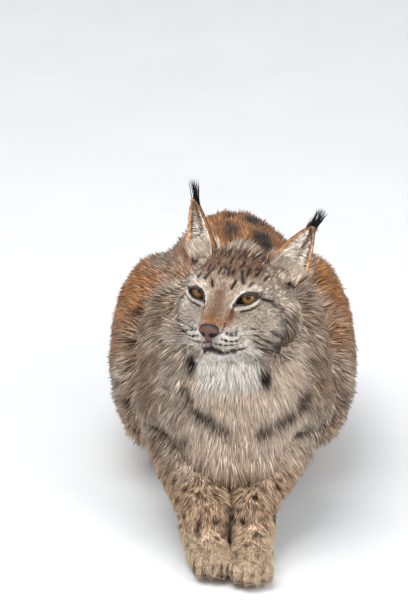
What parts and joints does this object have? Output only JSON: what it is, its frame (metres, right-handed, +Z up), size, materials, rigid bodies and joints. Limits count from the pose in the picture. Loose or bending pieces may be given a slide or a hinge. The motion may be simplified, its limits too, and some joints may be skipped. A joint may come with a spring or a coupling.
{
  "type": "eurasian lynx",
  "caption": "Life-size still model of a Eurasian lynx, crouched low with its forepaws together, head turned to its right, in winter coat.",
  "frame": {"origin": "middle of the box round the whole animal, at floor level", "axes": "the animal faces -Y with its left side at +X; +Z is up"},
  "size_m": [0.3068, 0.7338, 0.4545],
  "materials": {
    "coat": "dense winter fur, grey-brown with rusty haunches and a pale throat",
    "nose_leather": "bare, fine-grained skin, slightly damp",
    "eye": "clear and wet over an amber iris"
  },
  "bodies": {
    "root": {"head": "coat", "nose": "nose_leather", "eye_left": "eye", "eye_right": "eye", "ear_left": "coat", "ear_right": "coat", "neck": "coat", "torso": "coat", "tail": "coat", "foreleg_left": "coat", "foreleg_right": "coat", "forepaw_left": "coat", "forepaw_right": "coat", "hindleg_left": "coat", "hindleg_right": "coat", "hindfoot_left": "coat", "hindfoot_right": "coat"}
  },
  "joints": []
}
